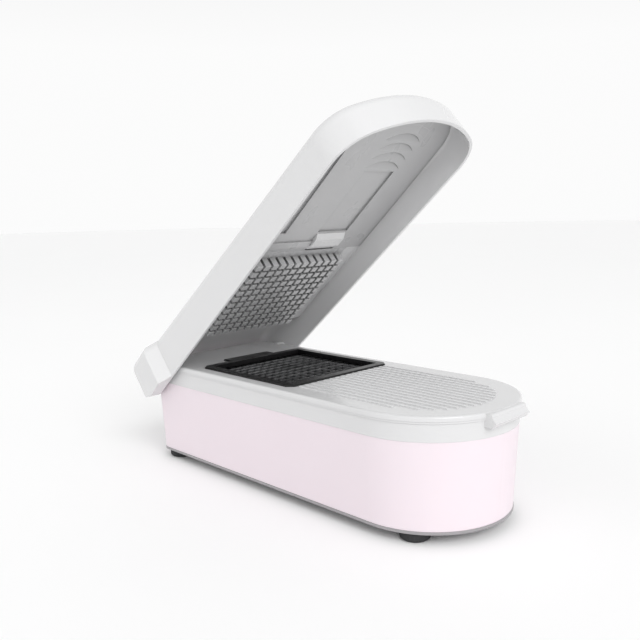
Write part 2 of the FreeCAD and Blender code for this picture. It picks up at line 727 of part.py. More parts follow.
def draw_turned_corner(sketch, rear, low, touch_x, touch_z):
    """What lies outside a rounded lower rear corner."""
    draw(sketch, [(touch_x, rim_z), (lid_rear, touch_z), (rear, touch_z), (rear, low), (touch_x, low)])
    sketch.delGeometry(0)
    centre = FreeCAD.Vector(touch_x.value, touch_z.value, 0)
    circle = Part.Circle(centre, FreeCAD.Vector(0, 0, 1), z.ear_round.value)
    arc = sketch.addGeometry(Part.ArcOfCircle(circle, math.pi, math.pi * 3 / 2))
    sketch.addConstraint(Sketcher.Constraint("Coincident", arc, 1, 0, 1))
    sketch.addConstraint(Sketcher.Constraint("Coincident", arc, 2, 3, 2))


def make_lid_space(name, gap):
    """The hollow under the lid's roof, set in from the shell by a gap."""
    body = new_body(name)
    plan = new_sketch(body, f"{name}_plan", height=rim_z - z.overshoot)
    inset = z.lid_wall + gap
    draw_lid_plan(plan, inset, [], lid_rear + inset, lid_half - inset)
    add_pad(body, plan, f"{name}_block", z.lid_rear_height + z.overshoot * 2)
    cut_roof(body, name, z.lid_roof + gap)
    add_fillet(body, f"{name}_shoulder", z.lid_round - inset, roof_edges(z.lid_roof + gap))
    return body


def make_lid():
    outer = make_lid_outside()
    shell = join("Part::Cut", "lid_shell", (outer, make_lid_space("lid_inside", as_size(0))))

    rear_cut = new_body("lid_tail_opening")
    gap = new_sketch(rear_cut, "lid_tail_gap", height=rim_z - z.overshoot)
    draw_box(gap, lid_rear - z.overshoot, lid_rear + z.tail_corner + z.lid_wall, -lid_inner, lid_inner)
    add_pad(rear_cut, gap, "lid_tail_block", z.tail_wall_edge + z.overshoot)
    opened = join("Part::Cut", "lid_opened", (shell, rear_cut))

    bores = new_body("lid_pin_bores")
    bore = new_sketch(bores, "lid_pin_bore", role="XZ_Plane")
    draw_circle(bore, hinge_x, hinge_z, z.pin_radius)
    add_pad(bores, bore, "lid_pin_bore_block", (lid_inner + z.pin_hold) * 2, both_sides=True)
    bored = join("Part::Cut", "lid_bored", (opened, bores))

    rails = join("Part::Common", "lid_trimmed_rails", (make_rails(), outer))
    lid = join("Part::MultiFuse", "lid", [bored, rails])
    lid.Placement = shut_to_open
    return lid


def make_rails():
    """Ceiling strips on both sides of the pusher plate, each with a toe under the plate's stepped edge."""
    body = new_body("lid_rails")
    for side, name in ((-1, "near"), (1, "far")):
        profile = new_sketch(body, f"lid_rail_{name}", role="YZ_Plane", height=plate_rear)
        inner = pusher_half + z.rail_gap
        web = inner + z.rail_thickness
        outer = lid_inner + z.lid_wall / 2
        toe = pusher_half - z.rail_toe
        shelf = plate_face + z.rail_thickness
        high = roof_level(plate_rear, 0)
        corners = [(toe, plate_face), (outer, plate_face), (outer, shelf), (web, shelf), (web, high), (inner, high),
                   (inner, shelf), (toe, shelf)]
        if side < 0:
            corners = [(-y, level) for y, level in reversed(corners)]
        draw(profile, corners)
        add_pad(body, profile, f"lid_rail_{name}_pad", plate_front - plate_rear)
    return body


def make_liner():
    """The lid's inner face in front of the pusher plate, hollow towards the roof."""
    side = lid_half * 2
    front = lid_tip + z.overshoot
    top = lambda x: rim_z + z.lid_rear_height + z.overshoot
    block = new_body("liner_block")
    add_block(block, "liner_wedge", liner_rear, front, liner_level, top, side)
    filled = join("Part::Common", "liner_filled", (make_lid_space("liner_space", z.liner_gap), block))

    plan = new_body("liner_hollow_plan")
    outline = new_sketch(plan, "liner_hollow_outline", height=rim_z)
    inset = z.lid_wall + z.liner_gap + z.liner_wall
    draw_lid_plan(outline, inset, [], lid_rear + inset, lid_half - inset)
    add_pad(plan, outline, "liner_hollow_pad", z.lid_rear_height + z.overshoot)
    above = new_body("liner_hollow_wedge")
    add_block(above, "liner_hollow_block", liner_rear + z.liner_wall, front,
              lambda x: liner_level(x) + z.liner_wall, top, side)
    hollow = join("Part::Common", "liner_hollow", (plan, above))
    shell = join("Part::Cut", "liner_shell", (filled, hollow))

    ridge = new_body("liner_ridge")
    start = liner_rear + z.ridge_start
    edge = z.detail_offset - z.latch_width / 2
    add_block(ridge, "liner_ridge_bar", start, start + z.ridge_length, lambda x: liner_level(x) - z.ridge_height,
              lambda x: liner_level(x) + z.liner_wall / 2, z.ridge_span, edge - z.ridge_span / 2)
    ridged = join("Part::MultiFuse", "liner_ridged", [shell, ridge])

    cuts = new_body("liner_cuts")
    add_block(cuts, "liner_latch_notch", liner_rear - z.overshoot, latch_front + z.latch_gap,
              lambda x: rim_z, top, z.latch_width + z.latch_gap * 2, z.detail_offset)
    start = latch_front + z.panel_gap
    below = lambda x: liner_level(x) - z.overshoot
    floor = lambda x: liner_level(x) + z.recess_depth
    add_block(cuts, "liner_panel", start, start + z.panel_length, below, floor, z.panel_width, z.detail_offset)
    centre = z.step_width / 2 - lid_inner
    add_block(cuts, "liner_step", start, start + z.step_length, below, floor, z.step_width, centre)
    panelled = join("Part::Cut", "liner_panelled", (ridged, cuts))
    liner = join("Part::Cut", "lid_liner", (panelled, make_grips()))
    liner.Placement = shut_to_open
    return liner


def make_grips():
    """Crescent grooves, deepest along their curved side."""
    outlines = new_body("grip_outlines")
    plan = new_sketch(outlines, "grip_plan", height=rim_z)
    teeth = new_body("grip_teeth")
    half = z.grip_span / 2
    bow = z.grip_radius - root(z.grip_radius * z.grip_radius - half * half)
    for number in range(int(z.grip_count.value)):
        chord = lid_tip - z.grip_from_tip - z.grip_pitch * number
        draw(plan, [(chord, z.detail_offset - half), (chord, z.detail_offset + half)],
             {0: (chord + bow - z.grip_radius, z.detail_offset)})
        add_block(teeth, f"grip_tooth_{number}", chord, chord + bow, lambda x: liner_level(x) - z.overshoot / 2,
                  lambda x: liner_level(x) + z.grip_depth * (x - chord) / bow, z.grip_span, z.detail_offset)
    add_pad(outlines, plan, "grip_columns", z.lid_rear_height)
    return join("Part::Common", "grip_grooves", (outlines, teeth))


def make_pusher():
    body = new_body("pusher_plate")
    top = roof_level(plate_front, z.lid_roof) - z.pusher_top_gap
    plate = new_sketch(body, "pusher_outline", height=plate_face)
    draw_box(plate, plate_rear, plate_front, -pusher_half, pusher_half)
    add_pad(body, plate, "pusher_block", top - plate_face)
    back = new_sketch(body, "pusher_back_outline", height=top)
    inner = pusher_half - z.rail_toe - z.pusher_wall
    draw_box(back, plate_rear + z.pusher_wall, plate_front - z.pusher_wall, -inner, inner)
    add_pocket(body, back, "pusher_back", top - plate_face - z.pusher_plate)
    steps = new_sketch(body, "pusher_step_outlines", height=plate_face)
    step = pusher_half - z.rail_toe - z.rail_gap
    beyond = pusher_half + z.rail_toe
    draw_box(steps, plate_rear, plate_front, step, beyond)
    draw_box(steps, plate_rear, plate_front, -beyond, -step)
    add_pocket(body, steps, "pusher_steps", z.rail_thickness + z.rail_gap, reverse=True)
    pegs = new_sketch(body, "pusher_peg_outline", height=plate_face)
    draw_box(pegs, cassette_x - peg_span / 2, cassette_x + peg_span / 2, -peg_span / 2, peg_span / 2)
    add_pad(body, pegs, "pusher_peg_block", z.peg_length, reverse=True)
    groove = (z.cell_pitch - z.peg_size) / 2
    first = -z.cell_pitch * (z.cell_count / 2 - 1)
    long_cut = new_sketch(body, "pusher_groove_long", height=peg_tips)
    draw_box(long_cut, cassette_x - peg_span, cassette_x + peg_span, first - groove, first + groove)
    cut = add_pocket(body, long_cut, "pusher_groove_along", z.peg_length, reverse=True)
    repeat(body, cut, "pusher_grooves_along", "XZ_Plane", z.cell_count - 2, z.cell_pitch).Reversed = True
    doc.recompute()
    cross_cut = new_sketch(body, "pusher_groove_cross", height=peg_tips)
    draw_box(cross_cut, cassette_x + first - groove, cassette_x + first + groove, -peg_span, peg_span)
    cut = add_pocket(body, cross_cut, "pusher_groove_across", z.peg_length, reverse=True)
    repeat(body, cut, "pusher_grooves_across", "YZ_Plane", z.cell_count - 2, z.cell_pitch)
    body.Placement = shut_to_open
    return body


def make_latch():
    """Bevelled tab that locks the pusher plate; pushed towards the tail it lets the plate go."""
    body = new_body("pusher_release_tab")
    profile = new_sketch(body, "latch_profile", role="XZ_Plane", height=-z.detail_offset)
    shelf = latch_rear + z.latch_shelf
    low = plate_face - z.latch_drop
    high = roof_level(latch_front, z.lid_roof) - z.latch_gap
    draw(profile, [(latch_rear, plate_face), (shelf, plate_face), (shelf, low), (latch_front - z.latch_bevel, low),
                   (latch_front, plate_face), (latch_front, high), (latch_rear, high)])
    add_pad(body, profile, "latch_block", z.latch_width, both_sides=True)
    body.Placement = shut_to_open
    return body


def make_pin(name, side):
    pin = doc.addObject("Part::Cylinder", name)
    pin.Label = name
    bind(pin, "Radius", z.pin_radius)
    inner = spigot_half - z.spigot_wall
    bind(pin, "Height", lid_inner + z.pin_hold - inner)
    start = FreeCAD.Vector(hinge_x.value, side * inner.value, hinge_z.value)
    pin.Placement = FreeCAD.Placement(start, FreeCAD.Rotation(FreeCAD.Vector(0, 0, 1), FreeCAD.Vector(0, side, 0)))
    return pin


# ---------------------------------------------------------------- build and write

def build():
    pieces = [make_tub(), make_base_plate()]
    pieces += [make_foot(name, x, y) for name, (x, y) in foot_places().items()]
    pieces += [make_tray(), make_cassette_frame(), make_cassette_retainer()]
    long_strip = make_strip("long_strip", lengthwise=True)
    cross_strip = make_strip("cross_strip", lengthwise=False)
    pieces.append(make_strip_group("blades_lengthwise", long_strip, FreeCAD.Vector(0, 1, 0)))
    pieces.append(make_strip_group("blades_crosswise", cross_strip, FreeCAD.Vector(1, 0, 0)))
    pieces += [make_lid(), make_liner(), make_pusher(), make_latch()]
    pieces += [make_pin("hinge_pin_near", -1), make_pin("hinge_pin_far", 1)]
    return pieces


def check(pieces):
    doc.recompute()
    for item in doc.Objects:
        if {"Invalid", "Error"} & set(item.State):
            raise RuntimeError(f"{item.Name} failed: {item.State}")
    for piece in pieces:
        if piece.Shape.isNull() or not piece.Shape.isValid() or not piece.Shape.Solids:
            raise RuntimeError(f"{piece.Label} has no sound solid")


def write(pieces):
    os.makedirs("parts", exist_ok=True)
    for piece in pieces:
        piece.Shape.exportStep(os.path.join("parts", f"{piece.Label}.step"))
        box = piece.Shape.BoundBox
        print(f"{piece.Label}: {len(piece.Shape.Solids)} solid(s), "
              f"X {box.XMin:.2f} {box.XMax:.2f} Y {box.YMin:.2f} {box.YMax:.2f} Z {box.ZMin:.2f} {box.ZMax:.2f}")


parts = build()
check(parts)
write(parts)
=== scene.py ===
"""Looks for the press-lid vegetable chopper: finishes, floor, studio light and camera.

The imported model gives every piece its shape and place. This script dresses the pieces.
"""

import logging
import math
from dataclasses import dataclass
from enum import Enum

import bmesh
import bpy
from mathutils import Matrix, Vector


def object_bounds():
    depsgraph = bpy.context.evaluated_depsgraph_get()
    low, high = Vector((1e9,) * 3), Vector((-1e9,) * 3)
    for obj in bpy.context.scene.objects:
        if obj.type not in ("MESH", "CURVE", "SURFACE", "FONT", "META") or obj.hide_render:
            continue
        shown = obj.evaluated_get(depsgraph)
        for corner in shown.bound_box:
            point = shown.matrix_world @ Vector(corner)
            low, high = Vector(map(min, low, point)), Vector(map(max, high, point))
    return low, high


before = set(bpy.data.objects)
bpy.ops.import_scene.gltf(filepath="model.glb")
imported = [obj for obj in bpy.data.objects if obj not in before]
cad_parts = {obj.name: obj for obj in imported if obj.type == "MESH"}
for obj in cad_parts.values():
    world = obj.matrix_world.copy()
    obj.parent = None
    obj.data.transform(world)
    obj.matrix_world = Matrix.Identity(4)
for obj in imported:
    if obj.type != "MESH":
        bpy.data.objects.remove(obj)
cad_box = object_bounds()

LOG = logging.getLogger("chopper")
MM = 0.001
FLOOR_GAP = 0.05 * MM
# How dark the painted shade in gaps is, as a share of a material's shade colour.
PAINTED_SHADE_DARKNESS = 0.3
SMUDGE_SHARE = 0.25
STREAK_STRETCH = (0.25, 1.0, 1.0)
BRUSH_STRETCH = 0.03
MARK_WARP_SCALE = 18.0
MARK_WARP = 0.03
SCRATCH_PATCHES = 35.0
SMUDGE_SCALE = 45.0

Colour = tuple[float, float, float]
Socket = bpy.types.NodeSocket


class Axis(Enum):
    """The direction in which a metal surface was ground."""

    ALONG = (1.0, 0.0, 0.0)
    ACROSS = (0.0, 1.0, 0.0)


# ---------------------------------------------------------------- shader helpers


class Nodes:
    """A node tree with short calls for adding and linking nodes."""

    def __init__(self, tree: bpy.types.NodeTree) -> None:
        """Keeps the tree.

        Args:
            tree: the material's or the group's node tree.
        """
        self.tree = tree

    def add(self, kind: str, **settings: object) -> bpy.types.Node:
        """Adds a node.

        Args:
            kind: the node's type name.
            settings: its properties.

        Returns:
            The new node.
        """
        node = self.tree.nodes.new(kind)
        for name, value in settings.items():
            setattr(node, name, value)
        return node

    def link(self, source: Socket, target: Socket) -> None:
        """Joins an output to an input."""
        self.tree.links.new(source, target)

    def put(self, value: object, target: Socket) -> None:
        """Links a socket to the target, or sets a plain number on it."""
        if isinstance(value, Socket):
            self.link(value, target)
        else:
            target.default_value = value

    def maths(self, operation: str, *values: object, clamp: bool = False) -> Socket:
        """Adds a Math node.

        Args:
            operation: the node's operation.
            values: sockets or numbers for its inputs.
            clamp: whether the result is kept between 0 and 1.

        Returns:
            Its output.
        """
        node = self.add("ShaderNodeMath", operation=operation, use_clamp=clamp)
        for value, target in zip(values, node.inputs):
            self.put(value, target)
        return node.outputs[0]

    def spread(self, value: object, low: float, high: float, to_low: float, to_high: float) -> Socket:
        """Adds a Map Range node.

        Args:
            value: what is mapped.
            low: lower end of the range that comes in.
            high: upper end of the range that comes in.
            to_low: lower end of the result.
            to_high: upper end of the result.

        Returns:
            Its output.
        """
        node = self.add("ShaderNodeMapRange")
        for name, number in (("Value", value), ("From Min", low), ("From Max", high),
                             ("To Min", to_low), ("To Max", to_high)):
            self.put(number, node.inputs[name])
        return node.outputs["Result"]

    def noise(self, vector: Socket, scale: object, detail: float = 2.0,
              roughness: float = 0.5) -> Socket:
        """Adds a Noise Texture.

        Args:
            vector: the coordinates.
            scale: the pattern's scale, in waves per metre.
            detail: number of finer layers.
            roughness: how strong the finer layers are.

        Returns:
            Its factor.
        """
        node = self.add("ShaderNodeTexNoise")
        self.link(vector, node.inputs["Vector"])
        self.put(scale, node.inputs["Scale"])
        node.inputs["Detail"].default_value = detail
        node.inputs["Roughness"].default_value = roughness
        return node.outputs["Fac"]

    def blend_colours(self, share: object, first: object, second: object) -> Socket:
        """Adds a colour mix.

        Args:
            share: how much of the second colour shows.
            first: colour or socket.
            second: colour or socket.

        Returns:
            The mixed colour.
        """
        node = self.add("ShaderNodeMix", data_type="RGBA")
        self.put(share, node.inputs[0])
        for value, target in ((first, node.inputs[6]), (second, node.inputs[7])):
            self.put(value if isinstance(value, Socket) else (*value, 1.0), target)
        return node.outputs[2]

    def group(self, tree: bpy.types.NodeTree, **values: object) -> bpy.types.Node:
        """Places a node group.

        Args:
            tree: the group.
            values: numbers or sockets for its inputs, with _ for a space in a name.

        Returns:
            The group's node.
        """
        node = self.add("ShaderNodeGroup", node_tree=tree)
        for name, value in values.items():
            self.put(value, node.inputs[name.replace("_", " ")])
        return node


def new_group(name: str, inputs: dict[str, float | str], outputs: dict[str, str]) -> tuple[Nodes, dict, dict]:
    """Starts a shader node group.

    Args:
        name: the group's name.
        inputs: its inputs; a number is a float's start value and a word a socket's type.
        outputs: its outputs and their socket types.

    Returns:
        The group's nodes, its inputs by name and its outputs by name.
    """
    tree = bpy.data.node_groups.new(name, "ShaderNodeTree")
    for label, value in inputs.items():
        kind = value if isinstance(value, str) else "NodeSocketFloat"
        socket = tree.interface.new_socket(name=label, in_out="INPUT", socket_type=kind)
        if not isinstance(value, str):
            socket.default_value = value
    for label, kind in outputs.items():
        tree.interface.new_socket(name=label, in_out="OUTPUT", socket_type=kind)
    nodes = Nodes(tree)
    start = nodes.add("NodeGroupInput")
    end = nodes.add("NodeGroupOutput")
    return nodes, dict(start.outputs.items()), dict(end.inputs.items())


def make_rounded_edges() -> bpy.types.NodeTree:
    """Group that softens sharp edges and marks them.

    Returns:
        The group, with a Normal and an Edge mask.
    """
    nodes, given, result = new_group(
        "rounded_edges", {"Radius": 0.0005, "Sharpness": 4.0},
        {"Normal": "NodeSocketVector", "Edge": "NodeSocketFloat"})
    bevel = nodes.add("ShaderNodeBevel", samples=8)
    nodes.link(given["Radius"], bevel.inputs["Radius"])
    flat = nodes.add("ShaderNodeNewGeometry")
    turn = nodes.add("ShaderNodeVectorMath", operation="DOT_PRODUCT")
    nodes.link(bevel.outputs["Normal"], turn.inputs[0])
    nodes.link(flat.outputs["Normal"], turn.inputs[1])
    bent = nodes.maths("SUBTRACT", 1.0, turn.outputs["Value"])
    nodes.link(nodes.maths("MULTIPLY", bent, given["Sharpness"], clamp=True), result["Edge"])
    nodes.link(bevel.outputs["Normal"], result["Normal"])
    return nodes.tree


def make_corner_shade() -> bpy.types.NodeTree:
    """Group that marks narrow gaps and recesses, where little light comes back; the mask paints shade into
    the base colour there.

    Returns:
        The group, with a Deep mask.
    """
    nodes, given, result = new_group("corner_shade", {"Reach": 0.004}, {"Deep": "NodeSocketFloat"})
    open_share = nodes.add("ShaderNodeAmbientOcclusion", samples=8)
    nodes.link(given["Reach"], open_share.inputs["Distance"])
    nodes.link(nodes.spread(open_share.outputs["AO"], 0.35, 0.95, 1.0, 0.0), result["Deep"])
    return nodes.tree


def make_moulding_grain() -> bpy.types.NodeTree:
    """Group with the fine skin and the slow mottling of moulded plastic.

    Returns:
        The group, with a Height, a Mottle mask and a Flow mask.
    """
    nodes, given, result = new_group(
        "moulding_grain", {"Vector": "NodeSocketVector", "Skin": 2600.0, "Patches": 22.0},
        {"Height": "NodeSocketFloat", "Mottle": "NodeSocketFloat", "Flow": "NodeSocketFloat"})
    fine = nodes.noise(given["Vector"], given["Skin"], detail=3.0, roughness=0.6)
    waves = nodes.noise(given["Vector"], nodes.maths("MULTIPLY", given["Patches"], 3.0), detail=1.0)
    height = nodes.maths("ADD", nodes.maths("MULTIPLY", fine, 0.7), nodes.maths("MULTIPLY", waves, 0.3))
    nodes.link(height, result["Height"])
    nodes.link(nodes.noise(given["Vector"], given["Patches"], detail=4.0), result["Mottle"])
    stretch = nodes.add("ShaderNodeMapping")
    stretch.inputs["Scale"].default_value = STREAK_STRETCH
    nodes.link(given["Vector"], stretch.inputs["Vector"])
    spacing = nodes.maths("MULTIPLY", given["Patches"], 2.0)
    streaks = nodes.noise(stretch.outputs["Vector"], spacing, detail=2.0)
    nodes.link(nodes.spread(streaks, 0.35, 0.7, 0.0, 1.0), result["Flow"])
    return nodes.tree


def make_handling_marks() -> bpy.types.NodeTree:
    """Group with sparse hairline scratches and faint smudges.

    Returns:
        The group, with a Scratch mask and a Smudge mask.
    """
    nodes, given, result = new_group(
        "handling_marks", {"Vector": "NodeSocketVector", "Spacing": 60.0},
        {"Scratch": "NodeSocketFloat", "Smudge": "NodeSocketFloat"})
    warp = nodes.add("ShaderNodeTexNoise")
    nodes.link(given["Vector"], warp.inputs["Vector"])
    warp.inputs["Scale"].default_value = MARK_WARP_SCALE
    shifted = nodes.add("ShaderNodeVectorMath", operation="MULTIPLY_ADD")
    nodes.link(warp.outputs["Color"], shifted.inputs[0])
    shifted.inputs[1].default_value = (MARK_WARP, MARK_WARP, MARK_WARP)
    nodes.link(given["Vector"], shifted.inputs[2])
    lines = nodes.add("ShaderNodeTexVoronoi", feature="DISTANCE_TO_EDGE")
    nodes.link(shifted.outputs["Vector"], lines.inputs["Vector"])
    nodes.link(given["Spacing"], lines.inputs["Scale"])
    thin = nodes.spread(lines.outputs["Distance"], 0.0, 0.012, 1.0, 0.0)
    patches = nodes.noise(given["Vector"], SCRATCH_PATCHES, detail=1.0)
    where = nodes.spread(patches, 0.55, 0.65, 0.0, 1.0)
    nodes.link(nodes.maths("MULTIPLY", thin, where, clamp=True), result["Scratch"])
    smears = nodes.noise(shifted.outputs["Vector"], SMUDGE_SCALE, detail=4.0, roughness=0.65)
    nodes.link(nodes.spread(smears, 0.5, 0.75, 0.0, 1.0), result["Smudge"])
    return nodes.tree


def make_brush_lines() -> bpy.types.NodeTree:
    """Group with the fine parallel lines of ground steel.

    Returns:
        The group, with a Height and a Sheen mask.
    """
    nodes, given, result = new_group(
        "brush_lines", {"Vector": "NodeSocketVector", "Lines": 5000.0},
        {"Height": "NodeSocketFloat", "Sheen": "NodeSocketFloat"})
    nodes.link(nodes.noise(given["Vector"], given["Lines"], detail=3.0, roughness=0.7), result["Height"])
    slow = nodes.noise(given["Vector"], nodes.maths("MULTIPLY", given["Lines"], 0.06), detail=2.0)
    nodes.link(nodes.spread(slow, 0.3, 0.7, 0.0, 1.0), result["Sheen"])
    return nodes.tree


@dataclass(frozen=True)
class Effects:
    """The node groups that the finishes share."""

    edges: bpy.types.NodeTree
    corners: bpy.types.NodeTree
    grain: bpy.types.NodeTree
    marks: bpy.types.NodeTree
    brush: bpy.types.NodeTree

    @classmethod
    def make(cls) -> "Effects":
        """Builds each group once."""
        return cls(make_rounded_edges(), make_corner_shade(), make_moulding_grain(), make_handling_marks(),
                   make_brush_lines())


def new_material(name: str) -> tuple[bpy.types.Material, Nodes, bpy.types.Node, Socket]:
    """Starts a material.

    Args:
        name: the material's name.

    Returns:
        The material, its nodes, its Principled shader and the object coordinates.
    """
    material = bpy.data.materials.new(name)
    material.use_nodes = True
    nodes = Nodes(material.node_tree)
    shader = next(node for node in material.node_tree.nodes if node.type == "BSDF_PRINCIPLED")
    place = nodes.add("ShaderNodeTexCoord").outputs["Object"]
    return material, nodes, shader, place


@dataclass(frozen=True)
class Moulded:
    """Injection-moulded plastic or rubber.

    Attributes:
        name: the material's name.
        colour: linear base colour.
        shade: linear colour of the mottled patches.
        edge_wear_and_highlight: linear colour of the lighter edges, partly wear and partly a painted
            highlight where edges catch light.
        roughness: of clean areas.
        unevenness: how much the roughness changes over the surface.
        skin_depth: height of the fine skin, in metres.
        edge_radius: rounding of sharp edges, in metres.
        edge_share: how strongly the lighter edges, wear and painted highlight, show.
        mark_share: how strongly scratches and smudges show.
        painted_shade_share: how strongly the painted shade darkens narrow gaps and recesses.
        corner_reach: depth that counts as a narrow gap, in metres.
        coat: weight of the clear gloss over the colour.
        specular: strength of the reflection.
        subsurface: weight of the light scattered inside.
        patches: mottled patches per metre.
        skin: bumps of the skin per metre.
    """

    name: str
    colour: Colour
    shade: Colour
    edge_wear_and_highlight: Colour
    roughness: float
    unevenness: float = 0.06
    skin_depth: float = 0.00003
    edge_radius: float = 0.0005
    edge_share: float = 0.35
    mark_share: float = 0.3
    painted_shade_share: float = 0.0
    corner_reach: float = 0.004
    coat: float = 0.0
    specular: float = 0.5
    subsurface: float = 0.0
    patches: float = 22.0
    skin: float = 2600.0

    def make(self, effects: Effects) -> bpy.types.Material:
        """Builds the material.

        Args:
            effects: the shared node groups.

        Returns:
            The material.
        """
        material, nodes, shader, place = new_material(self.name)
        edges = nodes.group(effects.edges, Radius=self.edge_radius)
        grain = nodes.group(effects.grain, Vector=place, Skin=self.skin, Patches=self.patches)
        marks = nodes.group(effects.marks, Vector=place)
        mottled = nodes.blend_colours(grain.outputs["Mottle"], self.colour, self.shade)
        # Partly wear, partly painted highlight: sharp edges take the lighter edge colour, as if they caught
        # light.
        wear_and_highlight = nodes.maths("MULTIPLY", edges.outputs["Edge"], self.edge_share)
        colour = nodes.blend_colours(wear_and_highlight, mottled, self.edge_wear_and_highlight)
        # Painted shade: an ambient-occlusion mask darkens narrow gaps and recesses in the base colour.
        if self.painted_shade_share:
            corners = nodes.group(effects.corners, Reach=self.corner_reach)
            painted_shade_colour = tuple(part * PAINTED_SHADE_DARKNESS for part in self.shade)
            painted_shade_amount = nodes.maths("MULTIPLY", corners.outputs["Deep"], self.painted_shade_share)
            colour = nodes.blend_colours(painted_shade_amount, colour, painted_shade_colour)
        nodes.link(colour, shader.inputs["Base Color"])
        smooth = nodes.spread(grain.outputs["Flow"], 0.0, 1.0, self.roughness - self.unevenness / 2,
                              self.roughness + self.unevenness / 2)
        touched = nodes.maths("MULTIPLY", marks.outputs["Smudge"], self.mark_share * SMUDGE_SHARE)
        scratched = nodes.maths("MULTIPLY", marks.outputs["Scratch"], self.mark_share)
        nodes.link(nodes.maths("ADD", nodes.maths("ADD", smooth, touched), scratched, clamp=True),
                   shader.inputs["Roughness"])
        bump = nodes.add("ShaderNodeBump")
        bump.inputs["Strength"].default_value = 0.6
        bump.inputs["Distance"].default_value = self.skin_depth
        relief = nodes.maths("SUBTRACT", grain.outputs["Height"],
                             nodes.maths("MULTIPLY", marks.outputs["Scratch"], self.mark_share))
        nodes.link(relief, bump.inputs["Height"])
        nodes.link(edges.outputs["Normal"], bump.inputs["Normal"])
        nodes.link(bump.outputs["Normal"], shader.inputs["Normal"])
        shader.inputs["Specular IOR Level"].default_value = self.specular
        shader.inputs["Coat Weight"].default_value = self.coat
        shader.inputs["Coat Roughness"].default_value = 0.08
        shader.inputs["Subsurface Weight"].default_value = self.subsurface
        shader.inputs["Subsurface Radius"].default_value = (1.0, 0.8, 0.8)
        shader.inputs["Subsurface Scale"].default_value = 0.002
        return material


@dataclass(frozen=True)
class Ground:
    """Steel with a ground or brushed surface.

    Attributes:
        name: the material's name.
        colour: linear colour of the bright metal, also painted on sharp edges as a glint.
        shade: linear colour of the duller streaks.
        roughness: of the brightest streaks.
        lay: direction of the lines.
        edge_radius: rounding of sharp edges, in metres.
    """

    name: str
    colour: Colour
    shade: Colour
    roughness: float
    lay: Axis
    edge_radius: float = 0.00015

    def make(self, effects: Effects) -> bpy.types.Material:
        """Builds the material.

        Args:
            effects: the shared node groups.

        Returns:
            The material.
        """
        material, nodes, shader, place = new_material(self.name)
        stretch = nodes.add("ShaderNodeMapping")
        stretch.inputs["Scale"].default_value = [BRUSH_STRETCH if along else 1.0 for along in self.lay.value]
        nodes.link(place, stretch.inputs["Vector"])
        brush = nodes.group(effects.brush, Vector=stretch.outputs["Vector"])
        edges = nodes.group(effects.edges, Radius=self.edge_radius)
        streaked = nodes.blend_colours(brush.outputs["Sheen"], self.colour, self.shade)
        # Painted glint: sharp edges take the bright metal colour, as if they caught the light.
        colour = nodes.blend_colours(edges.outputs["Edge"], streaked, self.colour)
        nodes.link(colour, shader.inputs["Base Color"])
        nodes.link(nodes.spread(brush.outputs["Sheen"], 0.0, 1.0, self.roughness, self.roughness + 0.14),
                   shader.inputs["Roughness"])
        bump = nodes.add("ShaderNodeBump")
        bump.inputs["Strength"].default_value = 0.5
        bump.inputs["Distance"].default_value = 0.00002
        nodes.link(brush.outputs["Height"], bump.inputs["Height"])
        nodes.link(edges.outputs["Normal"], bump.inputs["Normal"])
        nodes.link(bump.outputs["Normal"], shader.inputs["Normal"])
        shader.inputs["Metallic"].default_value = 1.0
        return material


# The third colour of each moulded finish is its lighter edge colour: partly wear, partly painted highlight.
PINK_TUB = Moulded("pink_tub", (0.805, 0.72, 0.765), (0.785, 0.70, 0.745), (0.88, 0.82, 0.85), 0.42,
                   edge_share=0.5, mark_share=0.04, subsurface=0.08)
GREY_BASE = Moulded("grey_base", (0.34, 0.33, 0.34), (0.30, 0.29, 0.30), (0.50, 0.49, 0.50), 0.45,
                    mark_share=0.15)
RUBBER = Moulded("black_rubber", (0.028, 0.028, 0.030), (0.040, 0.040, 0.042),
                 (0.075, 0.075, 0.078), 0.72,
                 unevenness=0.12, skin_depth=0.00012, skin=1500.0, edge_share=0.6, mark_share=0.5,
                 specular=0.3)
WHITE_TRAY = Moulded("white_tray", (0.67, 0.67, 0.675), (0.65, 0.65, 0.655), (0.93, 0.93, 0.93), 0.24,
                     skin_depth=0.000002, coat=0.3, edge_share=0.5, mark_share=0.03, edge_radius=0.0002)
BLACK_CASSETTE = Moulded("black_cassette", (0.006, 0.006, 0.0065), (0.010, 0.0095, 0.010),
                         (0.035, 0.035, 0.035), 0.34, unevenness=0.10, edge_share=0.5,
                         mark_share=0.4, edge_radius=0.0003, specular=0.3)
WHITE_LID = Moulded("white_lid", (0.70, 0.70, 0.705), (0.68, 0.68, 0.685), (0.90, 0.90, 0.90), 0.24,
                    coat=0.3, edge_share=0.6, mark_share=0.02, edge_radius=0.0007)
# The liner is white plastic like the lid but coloured a darker grey: partly its own tone, partly painted
# shade for the inside of the lid.
WHITE_LINER = Moulded("white_liner", (0.48, 0.48, 0.485), (0.455, 0.455, 0.46), (0.78, 0.78, 0.78), 0.30,
                      coat=0.15, edge_share=0.9, mark_share=0.03, painted_shade_share=0.75, corner_reach=0.005,
                      edge_radius=0.0004)
